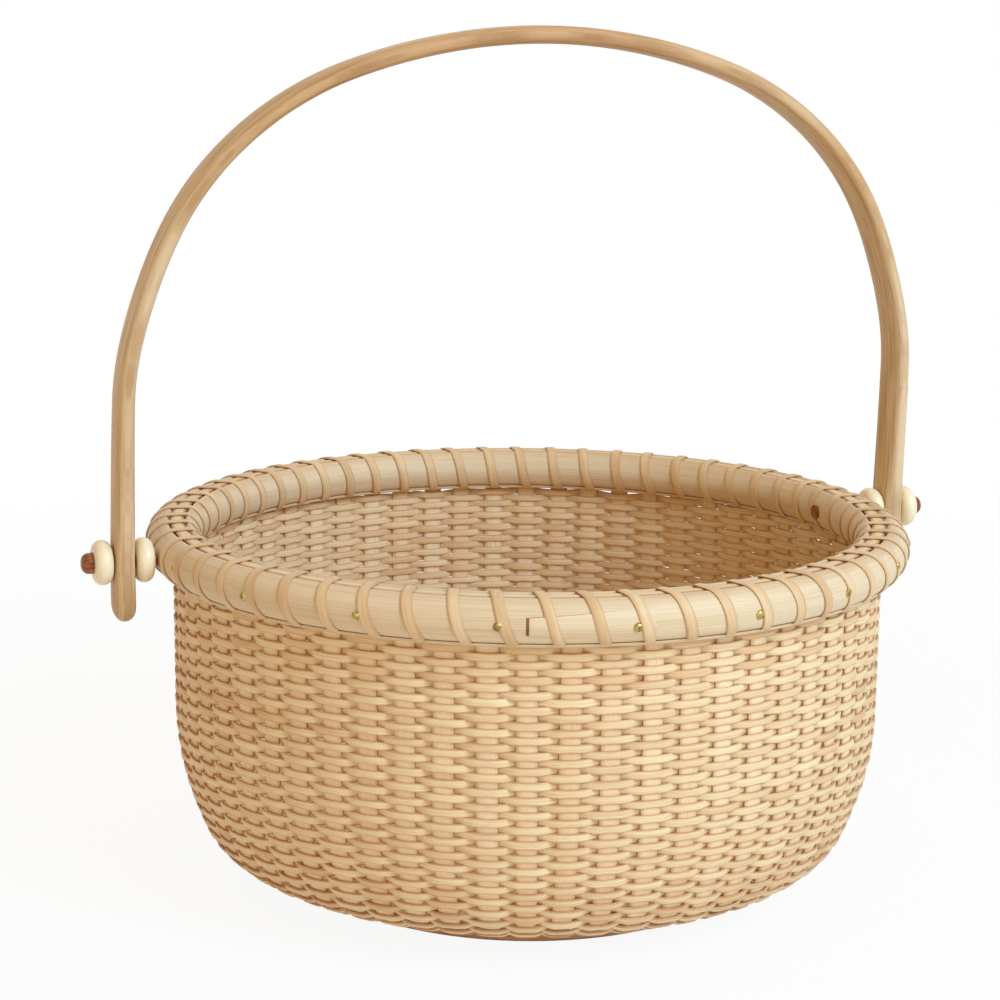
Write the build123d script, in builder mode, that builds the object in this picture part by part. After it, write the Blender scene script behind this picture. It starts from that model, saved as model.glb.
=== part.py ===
from build123d import *
import math
import os

os.makedirs("parts", exist_ok=True)

# Round woven basket with a swinging bail, in millimetres, +Z up.
# The origin is at the middle of the base's underside, and the bail swings about X.

# Staves and the shape of the wall, measured at the middle of the stave's thickness
staves_per_side = 30
stave_thickness = 1.2
stave_width = 6.0
stave_tail_width = 4.3
wall_radius = 107.6
corner_radius = 16.0
corner_turn = 65.5
flank_radius = 88.5
corner_chords = 3
flank_chords = 2

# Woven cane, outside and inside of the staves
cane_thickness = 0.95
cane_clearance = 0.15
weave_top_gap = 0.35

# Turned wooden base with a groove round its edge
base_radius = 70.0
base_height = 13.5
base_edge_round = 1.5
groove_middle = 10.4
groove_depth = 8.0
groove_clearance = 0.1
base_seat_gap = 0.25

# Rim hoops, half round, with the stave tops between them
rim_middle = 106.7
hoop_height = 12.8
hoop_shoulder = 2.75
outer_hoop_thickness = 8.4
inner_hoop_thickness = 6.2
hoop_clearance = 0.15
scarf_angle = 12.0
scarf_gap = 0.4
scarf_length = 70.0
scarf_heading = 248.5

# Filler strip in the groove between the hoops' upper edges
filler_bevel = 1.6
filler_clearance = 0.15
filler_drop = 0.1
stave_end_gap = 0.2

# Cane lashing, one unbroken strip with a turn for each stave
lashing_width = 3.2
lashing_thickness = 0.9
lashing_clearance = 0.15
lashing_flank = 48.0
lashing_sidestep = 0.4
lashing_start_turn = 15

# Pivot pegs and washers
peg_diameter = 4.5
peg_head_diameter = 6.2
peg_head_height = 3.4
peg_head_round = 2.3
peg_end_stand = 0.6
peg_fit = 0.03
washer_diameter = 14.0
washer_thickness = 5.4
washer_edge_round = 1.6
washer_seat_gap = 0.1

# Bent wooden bail
bail_thickness = 5.4
bail_width = 13.5
bail_round = 2.4
bail_rise = 151.6
bail_tail = 18.0
bail_side_slack = 0.7
bail_bore_clearance = 0.08
bail_crown_radius = 180.0
bail_shoulder_inset = 26.5

# Values that follow from the sizes above
stave_count = 2 * staves_per_side
stave_pitch = 360 / stave_count
turn_sine = math.sin(math.radians(corner_turn))
turn_cosine = math.cos(math.radians(corner_turn))
flank_centre_radius = wall_radius - flank_radius
corner_centre_radius = flank_centre_radius + (flank_radius - corner_radius) * turn_sine
corner_centre_height = groove_middle + corner_radius
flank_centre_height = corner_centre_height + (flank_radius - corner_radius) * turn_cosine
upright_start = flank_centre_height

rim_top = rim_middle + hoop_height / 2
outer_hoop_inside = wall_radius + stave_thickness / 2 + hoop_clearance
inner_hoop_outside = wall_radius - stave_thickness / 2 - hoop_clearance
outer_hoop_outside = outer_hoop_inside + outer_hoop_thickness
inner_hoop_inside = inner_hoop_outside - inner_hoop_thickness
stave_top = rim_top - filler_bevel - stave_end_gap

lashing_stand = lashing_clearance + lashing_thickness / 2
lashing_half_height = hoop_height / 2 + lashing_stand
lashing_reach = outer_hoop_outside + lashing_clearance + lashing_thickness
weave_top = rim_middle - lashing_half_height - lashing_thickness / 2 - weave_top_gap

peg_radius = peg_diameter / 2
inner_washer_face = lashing_reach + washer_seat_gap
bail_reach = inner_washer_face + washer_thickness + bail_side_slack + bail_thickness / 2
outer_washer_face = bail_reach + bail_thickness / 2 + bail_side_slack
peg_shoulder = outer_washer_face + washer_thickness


# A point of the curved wall: turn is the slope of the wall there, offset the distance outwards
def wall_point(turn, offset):
    sine = math.sin(math.radians(turn))
    cosine = math.cos(math.radians(turn))
    if turn <= corner_turn:
        reach = corner_radius + offset
        return corner_centre_radius + reach * sine, corner_centre_height - reach * cosine
    reach = flank_radius + offset
    return flank_centre_radius + reach * sine, flank_centre_height - reach * cosine


# The wall's line from a radius on the floor, round the corner, up to the upright stretch
def wall_line(floor_radius, offset):
    turns = [corner_turn * step / corner_chords for step in range(corner_chords + 1)]
    rest = 90 - corner_turn
    turns += [corner_turn + rest * (step + 1) / flank_chords for step in range(flank_chords)]
    return [(floor_radius, groove_middle - offset)] + [wall_point(turn, offset) for turn in turns]


# Turned base disc
with BuildPart() as base_disc:
    with BuildSketch(Plane.XY):
        Circle(base_radius)
    extrude(amount=base_height)
    fillet(base_disc.edges().filter_by(GeomType.CIRCLE), base_edge_round)
    groove_height = stave_thickness + 2 * groove_clearance
    with BuildSketch(Plane.XY.offset(groove_middle - groove_height / 2)):
        Circle(base_radius)
        Circle(base_radius - groove_depth, mode=Mode.SUBTRACT)
    extrude(amount=groove_height, mode=Mode.SUBTRACT)

# One stave, bent in side view and tapered towards its tail in plan
stave_tail = base_radius - groove_depth + groove_clearance
with BuildPart() as stave:
    with BuildSketch(Plane.XZ):
        with BuildLine():
            outside_line = wall_line(stave_tail, stave_thickness / 2)
            inside_line = wall_line(stave_tail, -stave_thickness / 2)
            outside_line.append((wall_radius + stave_thickness / 2, stave_top))
            inside_line.append((wall_radius - stave_thickness / 2, stave_top))
            Polyline(*outside_line, *reversed(inside_line), close=True)
        make_face()
    extrude(amount=stave_width / 2, both=True)
    with BuildSketch(Plane.XY):
        with BuildLine():
            Polyline(
                (stave_tail, stave_tail_width / 2),
                (flank_centre_radius + flank_radius * turn_sine, stave_width / 2),
                (wall_radius + stave_thickness, stave_width / 2),
                (wall_radius + stave_thickness, -stave_width / 2),
                (flank_centre_radius + flank_radius * turn_sine, -stave_width / 2),
                (stave_tail, -stave_tail_width / 2),
                close=True,
            )
        make_face()
    extrude(amount=stave_top, mode=Mode.INTERSECT)

# The ring of staves leaves a gap on the pivot axis at each side
with BuildPart() as staves:
    with PolarLocations(0, stave_count, start_angle=stave_pitch / 2):
        add(stave.part)

# The woven cane as two skins, one outside and one inside of the staves
skin_near = stave_thickness / 2 + cane_clearance
skin_far = skin_near + cane_thickness
skin_start = base_radius + base_seat_gap
with BuildPart() as lower_weave:
    for near, far in ((skin_near, skin_far), (-skin_near, -skin_far)):
        with BuildSketch(Plane.XZ):
            with BuildLine():
                Polyline(*wall_line(skin_start, near), *reversed(wall_line(skin_start, far)), close=True)
            make_face()
        revolve(axis=Axis.Z)

with BuildPart() as upper_weave:
    for near, far in ((skin_near, skin_far), (-skin_far, -skin_near)):
        with BuildSketch(Plane.XY.offset(upright_start)):
            Circle(wall_radius + far)
            Circle(wall_radius + near, mode=Mode.SUBTRACT)
        extrude(amount=weave_top - upright_start)


# A half round hoop: flat against the staves at face, domed out to crown, bevelled for the filler
def hoop_outline(face, crown):
    side = math.copysign(1, crown - face)
    shoulder = face + side * hoop_shoulder
    bottom = rim_middle - hoop_height / 2
    Line((face, rim_top - filler_bevel), (face, bottom))
    Line((face, bottom), (shoulder, bottom))
    ThreePointArc((shoulder, bottom), (crown, rim_middle), (shoulder, rim_top))
    Line((shoulder, rim_top), (face + side * filler_bevel, rim_top))
    Line((face + side * filler_bevel, rim_top), (face, rim_top - filler_bevel))


# Outer hoop, scarfed where its two ends overlap, bored for the pegs
with BuildPart() as outer_hoop:
    with BuildSketch(Plane.XZ):
        with BuildLine():
            hoop_outline(outer_hoop_inside, outer_hoop_outside)
        make_face()
    revolve(axis=Axis.Z)
    scarf_radius = outer_hoop_inside + outer_hoop_thickness / 2
    scarf_x = scarf_radius * math.cos(math.radians(scarf_heading))
    scarf_y = scarf_radius * math.sin(math.radians(scarf_heading))
    with Locations(Location((scarf_x, scarf_y, rim_middle), (0, 0, scarf_heading + 90 + scarf_angle))):
        Box(scarf_length, scarf_gap, 2 * hoop_height, mode=Mode.SUBTRACT)
    with BuildSketch(Plane.YZ):
        with Locations((0, rim_middle)):
            Circle(peg_radius + peg_fit)
    extrude(amount=lashing_reach, both=True, mode=Mode.SUBTRACT)

# Inner hoop, bored for the pegs
with BuildPart() as inner_hoop:
    with BuildSketch(Plane.XZ):
        with BuildLine():
            hoop_outline(inner_hoop_outside, inner_hoop_inside)
        make_face()
    revolve(axis=Axis.Z)
    with BuildSketch(Plane.YZ):
        with Locations((0, rim_middle)):
            Circle(peg_radius + peg_fit)
    extrude(amount=lashing_reach, both=True, mode=Mode.SUBTRACT)

# Filler strip over the stave ends
slot_half = stave_thickness / 2 + hoop_clearance
filler_low = slot_half + filler_drop - filler_clearance * math.sqrt(2)
filler_high = slot_half + filler_bevel - filler_drop - filler_clearance * math.sqrt(2)
filler_bottom = rim_top - filler_bevel + filler_drop
with BuildPart() as rim_filler:
    with BuildSketch(Plane.XZ):
        with BuildLine():
            Polyline(
                (wall_radius - filler_low, filler_bottom),
                (wall_radius + filler_low, filler_bottom),
                (wall_radius + filler_high, rim_top - filler_drop),
                (wall_radius - filler_high, rim_top - filler_drop),
                close=True,
            )
        make_face()
    revolve(axis=Axis.Z)


# Where the lashing bends on one face of the rim, from the bottom up: radius, height and outward slope
def lashing_bends(face, crown):
    side = math.copysign(1, crown - face)
    sagitta = abs(crown - face) - hoop_shoulder
    dome = (sagitta**2 + (hoop_height / 2) ** 2) / (2 * sagitta)
    centre = crown - side * dome
    reach = dome + lashing_stand
    slope = math.radians(lashing_flank)
    edge = (reach - lashing_half_height * math.sin(slope)) / math.cos(slope)
    upper = [(reach, reach * math.tan(slope / 2), lashing_flank / 2)]
    upper.append((edge, lashing_half_height, (lashing_flank + 90) / 2))
    lower = [(out, -height, -angle) for out, height, angle in reversed(upper)]
    return [(centre + side * out, rim_middle + height, angle, side) for out, height, angle in lower + upper]


# How far round the rim the lashing has come at the top of a turn, stepping aside for the pegs
def lashing_top(turn):
    share = 0.5
    if turn % staves_per_side == 0:
        share += lashing_sidestep
    if (turn + 1) % staves_per_side == 0:
        share -= lashing_sidestep
    return turn + share


# The lashing's route, from its last turn back to its first: up the outside and down the inside,
# crossing the rim squarely above and below
def lashing_route():
    inside = lashing_bends(inner_hoop_outside, inner_hoop_inside)
    outside = lashing_bends(outer_hoop_inside, outer_hoop_outside)[::-1]
    route = []
    for turn in range(lashing_start_turn, lashing_start_turn + stave_count):
        stretches = ((inside, turn, lashing_top(turn)), (outside, lashing_top(turn), turn + 1))
        for bends, begin, end in stretches:
            lengths = [math.dist(bends[0][:2], bend[:2]) for bend in bends]
            for bend, length in zip(bends, lengths):
                heading = stave_pitch * (begin + (end - begin) * length / lengths[-1])
                route.append((bend, heading))
    return route[::-1]


def lashing_centre(bend, heading):
    radius, height = bend[:2]
    return Vector(radius, 0, height).rotate(Axis.Z, heading)


# Flat cane section at each bend of the route, with its width along the fold
route = lashing_route()
centres = [lashing_centre(bend, heading) for bend, heading in route]
with BuildPart() as rim_lashing:
    for centre, (bend, heading) in zip(centres, route):
        slope = math.radians(bend[2])
        outward = Vector(bend[3] * math.cos(slope), 0, math.sin(slope)).rotate(Axis.Z, heading)
        along = Vector(0, 1, 0).rotate(Axis.Z, heading)
        with BuildSketch(Plane(origin=centre, x_dir=along, z_dir=outward.cross(along))):
            Rectangle(lashing_width, lashing_thickness)
    loft(ruled=True)

# Least gap between neighbouring turns of the lashing, along the strip's bends
bends_per_turn = len(route) // stave_count
spacing = [
    (one - other).length
    for place, one in enumerate(centres)
    for other in centres[place + bends_per_turn - 2 : place + bends_per_turn + 3]
]
print("least gap of the lashing to itself:", round(min(spacing) - lashing_width, 2), "mm")

# Peg with a domed head, through both washers, the bail and both hoops
with BuildPart() as right_peg:
    peg_start = inner_hoop_inside - peg_end_stand
    with BuildSketch(Plane.YZ.offset(peg_start)):
        with Locations((0, rim_middle)):
            Circle(peg_radius)
    extrude(amount=peg_shoulder - peg_start)
    with BuildSketch(Plane.YZ.offset(peg_shoulder)):
        with Locations((0, rim_middle)):
            Circle(peg_head_diameter / 2)
    extrude(amount=peg_head_height)
    fillet(right_peg.edges().sort_by(Axis.X)[-1], peg_head_round)


# Washer with rounded edges, standing out from a face square to the pivot axis
def washer_ring(face):
    with BuildPart() as ring:
        with BuildSketch(Plane.YZ.offset(face)):
            with Locations((0, rim_middle)):
                Circle(washer_diameter / 2)
                Circle(peg_radius + peg_fit, mode=Mode.SUBTRACT)
        extrude(amount=washer_thickness)
        fillet(ring.edges().filter_by(GeomType.CIRCLE).group_by(SortBy.RADIUS)[-1], washer_edge_round)
    return ring


right_inner_washer = washer_ring(inner_washer_face)
right_outer_washer = washer_ring(outer_washer_face)

with BuildPart() as left_peg:
    mirror(right_peg.part, about=Plane.YZ)

with BuildPart() as left_inner_washer:
    mirror(right_inner_washer.part, about=Plane.YZ)

with BuildPart() as left_outer_washer:
    mirror(right_outer_washer.part, about=Plane.YZ)

# Bail: straight arms, tight shoulders and a flatter crown, with rounded ends below the pivots
with BuildPart() as bail_handle:
    shoulder_radius = bail_reach - bail_shoulder_inset
    shoulder_turn = math.degrees(math.acos(bail_shoulder_inset / (bail_crown_radius - shoulder_radius)))
    shoulder_sine = math.sin(math.radians(shoulder_turn))
    bow_height = bail_crown_radius - (bail_crown_radius - shoulder_radius) * shoulder_sine
    arm_bottom = rim_middle - bail_tail
    with BuildLine(Plane.XZ):
        left_arm = Line((-bail_reach, arm_bottom), (-bail_reach, rim_middle + bail_rise - bow_height))
        left_bend = JernArc(left_arm @ 1, left_arm % 1, shoulder_radius, -shoulder_turn)
        crown = JernArc(left_bend @ 1, left_bend % 1, bail_crown_radius, 2 * shoulder_turn - 180)
        right_bend = JernArc(crown @ 1, crown % 1, shoulder_radius, -shoulder_turn)
        Line(right_bend @ 1, (bail_reach, arm_bottom))
    with BuildSketch(Plane(origin=(-bail_reach, 0, arm_bottom), x_dir=(1, 0, 0), z_dir=(0, 0, 1))):
        RectangleRounded(bail_thickness, bail_width, bail_round)
    sweep()
    with BuildSketch(Plane.YZ):
        with Locations((0, arm_bottom)):
            Rectangle(2 * bail_width, bail_width, align=(Align.CENTER, Align.CENTER))
        with Locations((0, arm_bottom + bail_width / 2)):
            Circle(bail_width / 2, mode=Mode.SUBTRACT)
    extrude(amount=bail_reach + bail_thickness, both=True, mode=Mode.SUBTRACT)
    with BuildSketch(Plane.YZ):
        with Locations((0, rim_middle)):
            Circle(peg_radius + bail_bore_clearance)
    extrude(amount=bail_reach + bail_thickness, both=True, mode=Mode.SUBTRACT)

pieces = {
    "base_disc": base_disc,
    "staves": staves,
    "lower_weave": lower_weave,
    "upper_weave": upper_weave,
    "outer_rim_hoop": outer_hoop,
    "inner_rim_hoop": inner_hoop,
    "rim_filler": rim_filler,
    "rim_lashing": rim_lashing,
    "right_pivot_peg": right_peg,
    "left_pivot_peg": left_peg,
    "right_inner_washer": right_inner_washer,
    "left_inner_washer": left_inner_washer,
    "right_outer_washer": right_outer_washer,
    "left_outer_washer": left_outer_washer,
    "bail_handle": bail_handle,
}
for name, piece in pieces.items():
    piece.part.label = name
    export_step(piece.part, f"parts/{name}.step")
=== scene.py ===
import math

import bmesh
import bpy
import numpy as np
from mathutils import Matrix, Vector


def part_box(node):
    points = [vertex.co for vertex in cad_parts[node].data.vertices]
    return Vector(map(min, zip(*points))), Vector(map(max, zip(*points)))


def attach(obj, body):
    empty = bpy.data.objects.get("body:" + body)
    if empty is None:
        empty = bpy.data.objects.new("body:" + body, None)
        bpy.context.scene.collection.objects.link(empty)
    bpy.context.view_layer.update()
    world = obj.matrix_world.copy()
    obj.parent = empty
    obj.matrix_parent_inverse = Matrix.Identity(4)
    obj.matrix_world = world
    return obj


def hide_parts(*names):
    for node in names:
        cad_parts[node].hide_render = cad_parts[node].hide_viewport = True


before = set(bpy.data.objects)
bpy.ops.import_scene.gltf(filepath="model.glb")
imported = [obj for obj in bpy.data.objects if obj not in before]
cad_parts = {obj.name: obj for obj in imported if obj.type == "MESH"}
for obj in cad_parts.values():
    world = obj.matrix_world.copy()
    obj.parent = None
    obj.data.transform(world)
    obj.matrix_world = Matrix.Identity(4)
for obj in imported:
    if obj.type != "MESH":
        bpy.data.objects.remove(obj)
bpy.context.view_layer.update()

mm = 0.001
sharpAngle = math.radians(50)     # a sharper edge than this keeps its crease
dice = np.random.default_rng(23)  # one seed, so each run weaves the same basket
print("frame loaded:", len(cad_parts), "nodes")

# Camera, from the photo's own view
view = {
    "lens": 85.8,
    "sensor": 36,
    "clip": (0.01, 50),
    "target": Vector((0, 0, 62.7 * mm)),
    "targetPixel": (525.5, 669.3),  # where the target lies in the 1000 by 1000 picture
    "pictureSide": 1000,
    "distance": 750 * mm,
    "aside": math.radians(21.5),
    "above": math.radians(15.6),
    "roll": math.radians(0.75),
}


def placeCamera():
    data = bpy.data.cameras.new("camera")
    data.lens = view["lens"]
    data.sensor_width = view["sensor"]
    data.clip_start, data.clip_end = view["clip"]
    aside = view["aside"]
    level = math.cos(view["above"])
    back = Vector((-math.sin(aside) * level, -math.cos(aside) * level, math.sin(view["above"])))
    right = Vector((0, 0, 1)).cross(back).normalized()
    up = back.cross(right)
    leaned = Matrix((right, up, back)).transposed() @ Matrix.Rotation(view["roll"], 3, "Z")
    pixels = view["pictureSide"] * data.lens / data.sensor_width
    half = view["pictureSide"] / 2
    ray = Vector(((view["targetPixel"][0] - half) / pixels, (half - view["targetPixel"][1]) / pixels, -1))
    swing = ray.rotation_difference(Vector((0, 0, -1))).to_matrix()
    camera = bpy.data.objects.new("camera", data)
    place = view["target"] + back * view["distance"]
    camera.matrix_world = Matrix.Translation(place) @ (leaned @ swing).to_4x4()
    bpy.context.collection.objects.link(camera)
    bpy.context.scene.camera = camera


placeCamera()
bpy.context.scene.view_settings.view_transform = "Standard"


# Nodes and colours
def paint(red, green, blue):
    shares = [value / 255 for value in (red, green, blue)]
    return tuple(s / 12.92 if s < 0.04045 else ((s + 0.055) / 1.055) ** 2.4 for s in shares) + (1.0,)


def addNode(tree, kind, inputs=None, **settings):
    node = tree.nodes.new(kind)
    for name, value in settings.items():
        setattr(node, name, value)
    for name, value in (inputs or {}).items():
        if isinstance(value, bpy.types.NodeSocket):
            tree.links.new(value, node.inputs[name])
        else:
            node.inputs[name].default_value = value
    return node


def sums(tree, operation, first, second):
    return addNode(tree, "ShaderNodeMath", {0: first, 1: second}, operation=operation).outputs[0]


def spread(tree, value, low, high, toLow, toHigh):
    limits = {"Value": value, "From Min": low, "From Max": high, "To Min": toLow, "To Max": toHigh}
    return addNode(tree, "ShaderNodeMapRange", limits, interpolation_type="SMOOTHSTEP").outputs[0]


# Sockets 6 and 7 of the mix node are its two colours, and its output 2 is the mixed one
def blendColour(tree, share, first, second, how="MIX"):
    inputs = {0: share, 6: first, 7: second}
    return addNode(tree, "ShaderNodeMix", inputs, data_type="RGBA", blend_type=how).outputs[2]


def ramp(tree, value, *stops):
    node = addNode(tree, "ShaderNodeValToRGB", {0: value})
    points = node.color_ramp.elements
    while len(points) < len(stops):
        points.new(0.5)
    for point, (place, colour) in zip(points, stops):
        point.position = place
        point.color = colour
    return node.outputs[0]


# Fibres along a strip of cane or wood. Place holds millimetres along, across and the strip's number.
def makeFibreGroup():
    tree = bpy.data.node_groups.new("fibres", "ShaderNodeTree")
    tree.interface.new_socket("Place", in_out="INPUT", socket_type="NodeSocketVector")
    for name in ("Length", "Fineness", "Half Width"):
        tree.interface.new_socket(name, in_out="INPUT", socket_type="NodeSocketFloat")
    for name in ("Streak", "Fleck", "Drift", "Strip", "Edge"):
        tree.interface.new_socket(name, in_out="OUTPUT", socket_type="NodeSocketFloat")
    given = addNode(tree, "NodeGroupInput")
    axes = addNode(tree, "ShaderNodeSeparateXYZ", {0: given.outputs["Place"]})
    along = sums(tree, "DIVIDE", axes.outputs[0], given.outputs["Length"])
    across = sums(tree, "MULTIPLY", axes.outputs[1], given.outputs["Fineness"])

    def cloud(alongScale, acrossScale, stripScale, detail):
        vector = addNode(tree, "ShaderNodeCombineXYZ", {
            0: sums(tree, "MULTIPLY", along, alongScale),
            1: sums(tree, "MULTIPLY", across, acrossScale),
            2: sums(tree, "MULTIPLY", axes.outputs[2], stripScale),
        })
        noise = {"Vector": vector.outputs[0], "Scale": 1.0, "Detail": detail, "Roughness": 0.6}
        return addNode(tree, "ShaderNodeTexNoise", noise).outputs[0]

    streak = spread(tree, cloud(1.0, 1.0, 7.3, 4), 0.25, 0.75, 0.0, 1.0)
    fleck = spread(tree, cloud(3.2, 0.8, 3.1, 2), 0.67, 0.76, 0.0, 1.0)
    drift = spread(tree, cloud(0.16, 0.04, 5.7, 2), 0.3, 0.7, 0.0, 1.0)
    number = {"W": axes.outputs[2]}
    strip = addNode(tree, "ShaderNodeTexWhiteNoise", number, noise_dimensions="1D").outputs[0]
    # The edge mask rises towards a strip's sides, where the strip materials darken the colour as painted
    # shade.
    rim = sums(tree, "DIVIDE", sums(tree, "ABSOLUTE", axes.outputs[1], 0.0), given.outputs["Half Width"])
    edge = spread(tree, rim, 0.55, 1.0, 0.0, 1.0)
    inside = {"Streak": streak, "Fleck": fleck, "Drift": drift, "Strip": strip, "Edge": edge}
    addNode(tree, "NodeGroupOutput", inside)
    return tree


fibreGroup = makeFibreGroup()


# A Principled material with fixed values on its own sockets
def startMaterial(name, **fixed):
    material = bpy.data.materials.new(name)
    material.use_nodes = True
    tree = material.node_tree
    shader = tree.nodes["Principled BSDF"]
    for socket, value in fixed.items():
        shader.inputs[socket.replace("_", " ")].default_value = value
    return material, tree, shader


def stripPlace(tree):
    return addNode(tree, "ShaderNodeAttribute", attribute_name="place").outputs["Vector"]


def nodePlace(tree, upward=1.0):  # millimetres from the frame's origin, for pieces without strips
    where = addNode(tree, "ShaderNodeTexCoord").outputs["Object"]
    scales = (1000, 1000, 1000 * upward)
    return addNode(tree, "ShaderNodeVectorMath", {0: where, 1: scales}, operation="MULTIPLY").outputs[0]


def addFibres(tree, place, length, fineness, halfWidth=1.0):  # half the width matters to Edge alone
    inputs = {"Place": place, "Length": length, "Fineness": fineness, "Half Width": halfWidth}
    return addNode(tree, "ShaderNodeGroup", inputs, node_tree=fibreGroup).outputs


# Blends a tint in by a mask: real flecks and soil, and painted shade along the edges of strips.
def stainAndShade(tree, colour, mask, share, tint):
    return blendColour(tree, sums(tree, "MULTIPLY", mask, share), colour, paint(*tint))


# Gives a shader its colour, and by one mask its gloss and its bumps
def dress(tree, shader, colour, mask, finish, bumpStrength):
    tree.links.new(colour, shader.inputs["Base Color"])
    gloss = spread(tree, mask, 0.0, 1.0, finish["roughest"], finish["smoothest"])
    tree.links.new(gloss, shader.inputs["Roughness"])
    heights = {"Height": mask, "Distance": finish["bump"], "Strength": bumpStrength}
    bump = addNode(tree, "ShaderNodeBump", heights)
    tree.links.new(bump.outputs[0], shader.inputs["Normal"])


# What all strips share: where the tones begin and end in the mix, and how streaks set in
stripLook = {
    "firstTone": 0.12, "lastTone": 0.88,
    "streakFrom": 0.1, "streakTo": 0.6,
    "coatRoughness": 0.35,
    "bumpStrength": 0.6,
}


# One finish for each kind of strip: colours from pale to dark, fibres and gloss, and the painted shade
# along its edges
def stripMaterial(name, finish):
    material, tree, shader = startMaterial(
        name, Coat_Weight=finish["coat"], Coat_Roughness=stripLook["coatRoughness"],
        Specular_IOR_Level=finish["sheen"])
    place = stripPlace(tree)
    fibres = addFibres(tree, place, finish["fibreLength"], finish["fineness"], finish["halfWidth"])
    byStrip = sums(tree, "MULTIPLY", fibres["Strip"], 1 - finish["driftShare"])
    byDrift = sums(tree, "MULTIPLY", fibres["Drift"], finish["driftShare"])
    mixed = sums(tree, "ADD", byStrip, byDrift)
    stops = np.linspace(stripLook["firstTone"], stripLook["lastTone"], len(finish["tones"]))
    colour = ramp(tree, mixed, *((stop, paint(*tone)) for stop, tone in zip(stops, finish["tones"])))
    dark = (stripLook["streakFrom"], paint(*finish["streak"]))
    dull = ramp(tree, fibres["Streak"], dark, (stripLook["streakTo"], (1, 1, 1, 1)))
    colour = blendColour(tree, finish["streakShare"], colour, dull, "MULTIPLY")
    # Painted shade: each strip darkens towards its edges, where strips meet, cross and tuck under one
    # another.
    colour = stainAndShade(tree, colour, fibres["Edge"], finish["edgeShare"], finish["soil"])
    colour = stainAndShade(tree, colour, fibres["Fleck"], finish["fleckShare"], finish["fleck"])
    dress(tree, shader, colour, fibres["Streak"], finish, stripLook["bumpStrength"])
    return material


# Lines and meshes
def eased(share):
    share = np.clip(share, 0, 1)
    return share * share * (3 - 2 * share)


def lengthAlong(line):  # from a line's start to each of its points
    return np.append(0, np.cumsum(np.linalg.norm(np.diff(line, axis=0), axis=1)))


# A strip's section, between an ellipse and a box: places across it and out from its middle
def superSection(shape, halfWidth):
    angles = 2 * np.pi * (np.arange(shape["sides"]) + 0.5) / shape["sides"]
    power = shape["roundness"]
    across = halfWidth * np.sign(np.cos(angles)) * np.abs(np.cos(angles)) ** power
    out = shape["halfThickness"] * np.sign(np.sin(angles)) * np.abs(np.sin(angles)) ** power
    return across, out


# Room in the texture chart at a strip's ends and between strips, and the size of an end face there
chartRoom = {"ends": 0.02, "between": 0.04, "capLength": 0.008, "capHeight": 0.4}


def looksInward(points, faces):  # from the volume that the faces enclose
    corners = points[faces] - points[0]
    volume = np.einsum("ij,ij->i", corners[:, 0], np.cross(corners[:, 1], corners[:, 2])).sum()
    volume += np.einsum("ij,ij->i", corners[:, 0], np.cross(corners[:, 2], corners[:, 3])).sum()
    return volume < 0


# The end faces of open strips, with their places along and across the strip and in the chart
def endCaps(index, along, across, inward):
    strips, stations, sides = index.shape
    turn = 2 * np.pi * np.arange(sides) / sides
    middle = chartRoom["ends"] / 2
    for number in range(strips):
        for end, chartMiddle in ((0, middle), (stations - 1, 1 - middle)):
            order = np.arange(sides) if (end == 0) == inward else np.arange(sides)[::-1]
            marks = np.full((sides, 3), along[number, end])
            marks[:, 1] = across[order]
            marks[:, 2] = number
            chartAlong = chartMiddle + chartRoom["capLength"] * np.cos(turn[order])
            chartRound = (number + 0.5 + chartRoom["capHeight"] * np.sin(turn[order])) / strips
            yield index[number, end, order].tolist(), marks, np.stack([chartAlong, chartRound], axis=-1)


# A smooth mesh whose corners know their places on the strip and in the chart
def smoothMesh(name, points, faces, marks, charts):
    mesh = bpy.data.meshes.new(name)
    mesh.from_pydata(points.tolist(), [], faces)
    mesh.polygons.foreach_set("use_smooth", [True] * len(faces))
    place = mesh.attributes.new("place", "FLOAT_VECTOR", "CORNER")
    place.data.foreach_set("vector", marks.astype(np.float32).ravel())
    chart = mesh.uv_layers.new(name="OFBake")
    chart.uv.foreach_set("vector", charts.astype(np.float32).ravel())
    mesh.set_sharp_from_angle(angle=sharpAngle)
    mesh.update()
    return mesh


# Strips of quads from rings[strip, station, side], each a closed loop or capped at its ends
def sweptMesh(name, rings, closed, along, across):
    strips, stations, sides = rings.shape[:3]
    index = np.arange(strips * stations * sides).reshape(strips, stations, sides)
    spans = stations if closed else stations - 1
    counts = [np.arange(strips), np.arange(spans), np.arange(sides)]
    strip, station, side = np.meshgrid(*counts, indexing="ij")
    ends = chartRoom["ends"]
    between = chartRoom["between"]
    corners, marks, charts = [], [], []
    for stepAlong, stepRound in ((0, 0), (1, 0), (1, 1), (0, 1)):
        corners.append(index[strip, (station + stepAlong) % stations, (side + stepRound) % sides])
        reach = along[strip, station + stepAlong]
        width = across[(side + stepRound) % sides]
        marks.append(np.stack([reach, width, strip + 0.0], axis=-1))
        chartAlong = ends + (1 - 2 * ends) * (station + stepAlong) / spans
        chartRound = (strip + between + (1 - 2 * between) * (side + stepRound) / sides) / strips
        charts.append(np.stack([chartAlong, chartRound], axis=-1))
    faces = np.stack(corners, axis=-1).reshape(-1, 4)
    marks = np.stack(marks, axis=-2).reshape(-1, 3)
    charts = np.stack(charts, axis=-2).reshape(-1, 2)
    points = rings.reshape(-1, 3)
    inward = looksInward(points, faces[: spans * sides])
    if inward:
        faces = faces[:, ::-1]
        marks = marks.reshape(-1, 4, 3)[:, ::-1].reshape(-1, 3)
        charts = charts.reshape(-1, 4, 2)[:, ::-1].reshape(-1, 2)
    faces = faces.tolist()
    if not closed:
        for face, capMarks, capCharts in endCaps(index, along, across, inward):
            faces.append(face)
            marks = np.vstack([marks, capMarks])
            charts = np.vstack([charts, capCharts])
    return smoothMesh(name, points, faces, marks, charts)


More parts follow.
